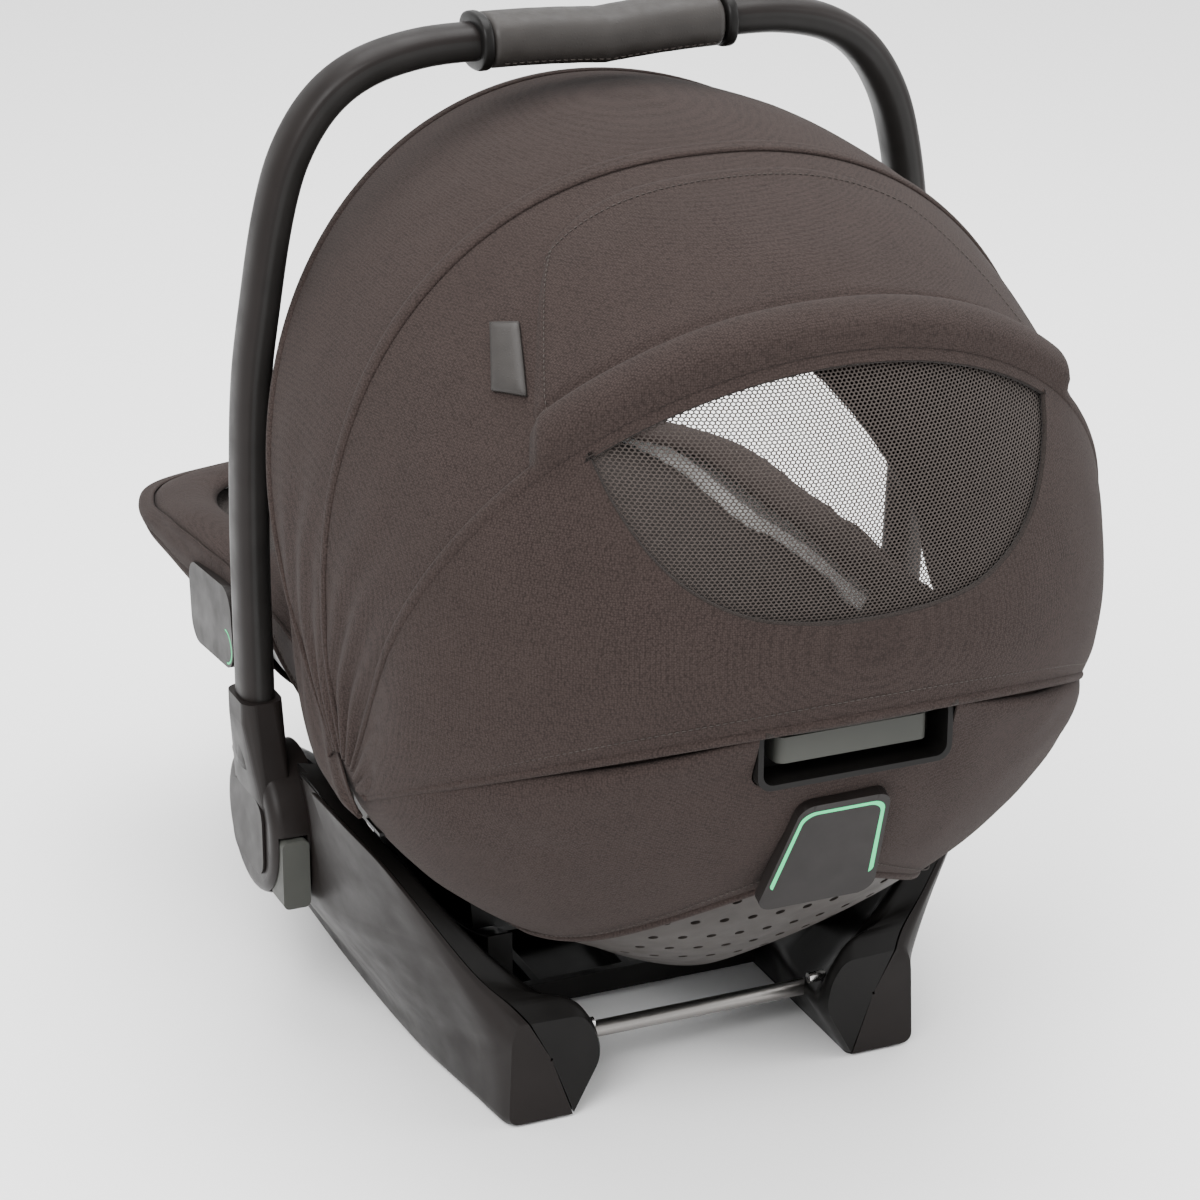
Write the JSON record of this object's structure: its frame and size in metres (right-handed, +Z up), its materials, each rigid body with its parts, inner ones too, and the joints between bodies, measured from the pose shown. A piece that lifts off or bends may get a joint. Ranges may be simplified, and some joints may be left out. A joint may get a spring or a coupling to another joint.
{
  "type": "infant car seat",
  "caption": "Lie-flat infant carrier seat with a two-rail chassis, swinging carry handle, reclining padded shell, harness and folding canopy with a net window.",
  "frame": {"origin": "on the floor under the middle of the overall box", "axes": "+X to the left of a child in the seat, +Y towards the foot end, +Z up"},
  "size_m": [0.43, 0.7049, 0.5807],
  "materials": {
    "shell_plastic": "satin moulded plastic, brown black",
    "black_plastic": "satin moulded plastic, black",
    "rod_steel": "black enamelled steel",
    "bright_steel": "zinc plated",
    "bow_plastic": "spring rod in a plain sleeve",
    "grip_leather": "grained synthetic leather",
    "button_grey": "satin grey green plastic",
    "button_red": "gloss",
    "shell_fabric": "smooth knitted stretch cloth, warm brown grey",
    "canopy_fabric": "smooth knitted stretch cloth, warm brown grey",
    "window_net": "open hexagonal net",
    "foam": "moulded bead foam",
    "pad_fabric": "soft padded knit",
    "webbing": "woven polyester webbing",
    "guide_green": "satin green mark"
  },
  "bodies": {
    "chassis": {"rail_left": "shell_plastic", "rail_right": "shell_plastic", "rail_cover_left": "black_plastic", "rail_cover_right": "black_plastic", "rear_dock_rod": "rod_steel", "front_dock_rod": "rod_steel", "cross_pan": "black_plastic", "glide_track_left": "black_plastic", "glide_track_right": "black_plastic", "rail_screws": "bright_steel", "hub_spindle_left": "rod_steel", "hub_spindle_right": "rod_steel"},
    "handle": {"handle_tube": "shell_plastic", "grip_sleeve": "grip_leather", "grip_rings": "black_plastic", "handle_hub_left": "shell_plastic", "handle_hub_right": "shell_plastic", "hub_cap_left": "shell_plastic", "hub_cap_right": "shell_plastic", "button_springs_left": "bright_steel", "button_springs_right": "bright_steel"},
    "release_button_left": {"release_button_left": "button_grey"},
    "release_button_right": {"release_button_right": "button_grey"},
    "shell": {"shell_bucket": "black_plastic", "shell_glides": "black_plastic", "shell_cover": "shell_fabric", "foot_cover": "shell_fabric", "foam_liner": "foam", "seat_pad": "pad_fabric", "shoulder_straps": "webbing", "hip_straps": "webbing", "crotch_strap": "webbing", "chest_pads": "pad_fabric", "buckle_body": "black_plastic", "adjuster_housing": "black_plastic", "adjuster_strap": "webbing", "recess_liner": "black_plastic", "belt_paddle": "shell_plastic", "paddle_inlay": "guide_green", "belt_guide_left": "shell_plastic", "belt_guide_right": "shell_plastic", "belt_guide_inlays": "guide_green", "canopy_mount_left": "black_plastic", "canopy_mount_right": "black_plastic", "bow_rear": "bow_plastic", "canopy_rear_panel": "canopy_fabric", "window_mesh": "window_net"},
    "headrest": {"headrest": "pad_fabric"},
    "buckle_button": {"buckle_button": "button_red"},
    "adjuster_button": {"adjuster_button": "button_grey"},
    "recline_handle": {"recline_handle": "button_grey"},
    "bow_middle": {"bow_middle": "bow_plastic", "canopy_mid_panel": "canopy_fabric", "window_flap": "canopy_fabric", "label_tab": "grip_leather"},
    "bow_front": {"bow_front": "bow_plastic", "canopy_front_panel": "canopy_fabric"},
    "bow_visor": {"bow_visor": "bow_plastic", "canopy_visor": "canopy_fabric"}
  },
  "joints": [
    {"name": "handle_swing", "type": "hinge", "parent": "chassis", "child": "handle", "pos_m": [0, 0.004, 0.124], "axis": [-1, 0, 0], "range_deg": [0, 95]},
    {"name": "release_press_left", "type": "slide", "parent": "handle", "child": "release_button_left", "axis": [0, 1, 0], "range_m": [0, 0.004], "stiffness_N_per_m": 400, "deforming": ["button_springs_left"]},
    {"name": "release_press_right", "type": "slide", "parent": "handle", "child": "release_button_right", "axis": [0, 1, 0], "range_m": [0, 0.004], "stiffness_N_per_m": 400, "deforming": ["button_springs_right"]},
    {"name": "shell_recline", "type": "hinge", "parent": "chassis", "child": "shell", "pos_m": [0, -0.02, 0.33], "axis": [1, 0, 0], "range_deg": [-4, 4]},
    {"name": "recline_squeeze", "type": "slide", "parent": "shell", "child": "recline_handle", "axis": [0, 0, 1], "range_m": [0, 0.006], "stiffness_N_per_m": 600},
    {"name": "headrest_height", "type": "slide", "parent": "shell", "child": "headrest", "axis": [0, -0.5299, 0.848], "range_m": [0, 0.04]},
    {"name": "buckle_press", "type": "slide", "parent": "shell", "child": "buckle_button", "axis": [0, 0.0698, -0.9976], "range_m": [0, 0.003], "stiffness_N_per_m": 300},
    {"name": "adjuster_press", "type": "slide", "parent": "shell", "child": "adjuster_button", "axis": [0, 0.6947, -0.7193], "range_m": [0, 0.0025], "stiffness_N_per_m": 300},
    {"name": "canopy_fold", "type": "hinge", "parent": "shell", "child": "bow_middle", "pos_m": [0, -0.148, 0.201], "axis": [1, 0, 0], "range_deg": [0, 18], "deforming": ["canopy_mid_panel", "window_flap", "label_tab"]},
    {"name": "canopy_front_fold", "type": "hinge", "parent": "bow_middle", "child": "bow_front", "pos_m": [0, -0.148, 0.201], "axis": [1, 0, 0], "range_deg": [0, 14.4], "deforming": ["canopy_front_panel"]},
    {"name": "canopy_visor_fold", "type": "hinge", "parent": "bow_front", "child": "bow_visor", "pos_m": [0, -0.148, 0.201], "axis": [1, 0, 0], "range_deg": [0, 8.64], "deforming": ["canopy_visor"]}
  ],
  "couplings": [
    {"joint": "canopy_front_fold", "follows": "canopy_fold", "ratio": 0.8},
    {"joint": "canopy_visor_fold", "follows": "canopy_fold", "ratio": 0.48}
  ]
}
